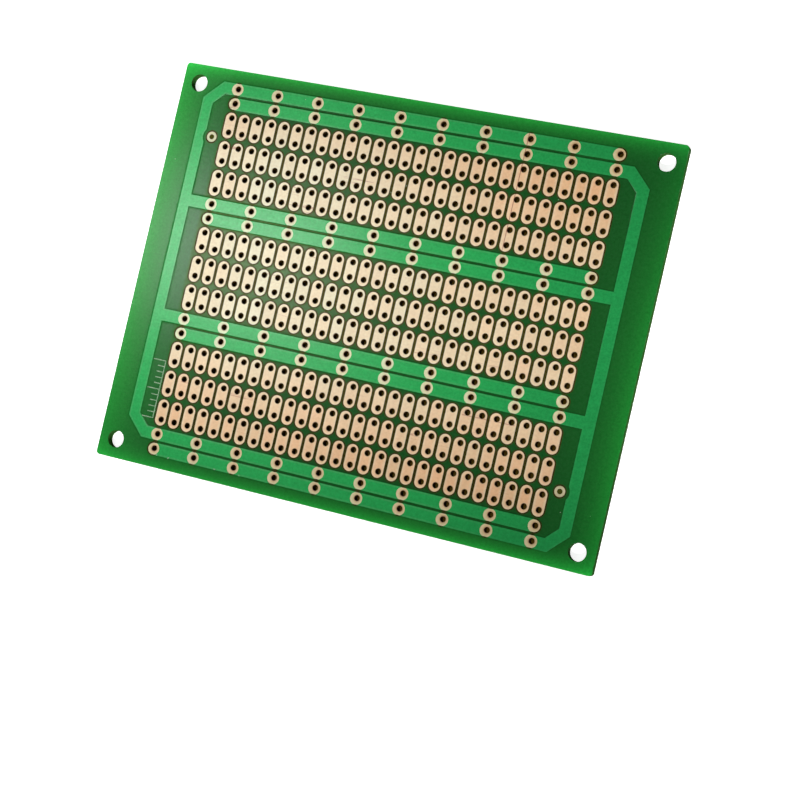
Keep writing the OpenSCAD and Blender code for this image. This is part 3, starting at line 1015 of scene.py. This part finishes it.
# %% [markdown]
# Glass-epoxy is woven glass in pale resin. From the back the weave shows through a glossy skin. Two sets of
# waves cross as warp and weft, and a chequer says which of them is on top, as in plain cloth. The sawn rim
# is painted dark green, streaked along the layers: painted shade on a side that the lamps hardly reach,
# and a painted green glow of the mask. The walls of the drilled holes are scorched brown and darkened
# further by painted shade. Where the mask leaves the upper face bare, round a pad or in a target, it is
# painted dark as shade. The walls are told from the rim by the distance to the nearest hole, and the
# upper face by its height.

# %% The weave of the laminate
WARP_SCALE, WEFT_SCALE, CHECK_SCALE = 640.0, 560.0, 1200.0
resin, tree, surface = new_finish("glass_epoxy")
spot, pattern = own_place(tree), place(tree, metre)
cloud = place(tree, grain, Size=500.0, Contrast=1.0)["Value"]
layers = place(tree, grain, Size=9000.0, Stretch=0.05, Contrast=1.5)["Value"]
warp, weft = (wire(tree, "TexWave", {"bands_direction": axis, "wave_profile": "SIN"}, Vector=spot,
                   Scale=scale, Distortion=0.6).outputs["Fac"]
              for axis, scale in (("X", WARP_SCALE), ("Y", WEFT_SCALE)))
checks = wire(tree, "TexChecker", Vector=spot, Scale=CHECK_SCALE).outputs["Fac"]
cloth = wire(tree, "Mix", {"data_type": "FLOAT"}, i0=checks, i2=warp, i3=weft).outputs[0]
print("weave: a chequer of", round(1000 / CHECK_SCALE, 2), "mm")

# %% Finish of the laminate
DARK_CLOTH, PALE_CLOTH = (0.42, 0.47, 0.19, 1), (0.55, 0.58, 0.28, 1)
RESIN_CLOUD = (0.40, 0.43, 0.16, 1)
SHADED_SAWN_DARK, SHADED_SAWN_PALE = (0.03, 0.13, 0.02, 1), (0.06, 0.19, 0.04, 1)
SCORCHED_AND_SHADED, LESS_SCORCHED_AND_SHADED = (0.030, 0.016, 0.002, 1), (0.06, 0.034, 0.006, 1)
SHADED_OPEN_OLIVE, SHADED_OPEN_BROWN = (0.06, 0.06, 0.008, 1), (0.020, 0.012, 0.002, 1)

colour = blended(tree, cloth, DARK_CLOTH, PALE_CLOTH)
colour = blended(tree, times(tree, cloud, 0.3), colour, RESIN_CLOUD)
off_back = steps_from(tree, pattern["Height"], 0.01, 0.03)
# painted shade on the sawn rim, which the lamps hardly reach, and the mask's painted green glow
colour = blended(tree, off_back, colour, blended(tree, layers, SHADED_SAWN_DARK, SHADED_SAWN_PALE))
# scorch and painted shade: the walls of the drilled holes are dark brown
in_hole = times(tree, steps_from(tree, pattern["From Hole"], 0.54, 0.51), off_back)
colour = blended(tree, in_hole, colour, blended(tree, cloud, SCORCHED_AND_SHADED, LESS_SCORCHED_AND_SHADED))
# painted shade: the bare upper face of the board, in openings and targets, is dark
on_top = formula(tree, "GREATER_THAN", pattern["Height"], top_z - 0.004)
shaded_opening = blended(tree, steps_from(tree, pattern["From Target"], 0.4, 0.5), SHADED_OPEN_OLIVE, SHADED_OPEN_BROWN)
colour = blended(tree, on_top, colour, shaded_opening)
weave = wire(tree, "Bump", Strength=0.25, Distance=0.00003, Height=cloth).outputs[0]
fill(tree, surface, Base_Color=colour, Roughness=line(tree, cloud, 0.2, 0.38), Specular_IOR_Level=0.0,
     Coat_Weight=minus(tree, 1.0, off_back), Coat_Roughness=0.25, Normal=weave)
dress(["laminate"], resin)
print("laminate:", len(tree.nodes), "nodes, upper face at", round(top_z, 3), "mm")

# %% [markdown]
# The ink of the scale is an off-white, rubbed thin in places so that some green comes through. A coarse
# grain with a high contrast says where.

# %% Finish of the ink
RUBBED_INK, WHOLE_INK = (0.12, 0.30, 0.13, 1), (0.40, 0.50, 0.36, 1)
ink, tree, surface = new_finish("worn_ink")
left_over = steps_from(tree, place(tree, grain, Size=6000.0, Contrast=2.2)["Value"], 0.3, 0.75)
fill(tree, surface, Base_Color=blended(tree, left_over, RUBBED_INK, WHOLE_INK), Roughness=0.55)
printed_scale.data.materials.append(ink)
print("ink, rubbed to whole:", RUBBED_INK[:3], WHOLE_INK[:3])

# %% [markdown]
# Last, the measured box is printed, in mm.

# %% Sizes, and the end
print("measured box, mm:", [[round(v / MM, 3) for v in corner] for corner in measured_box])
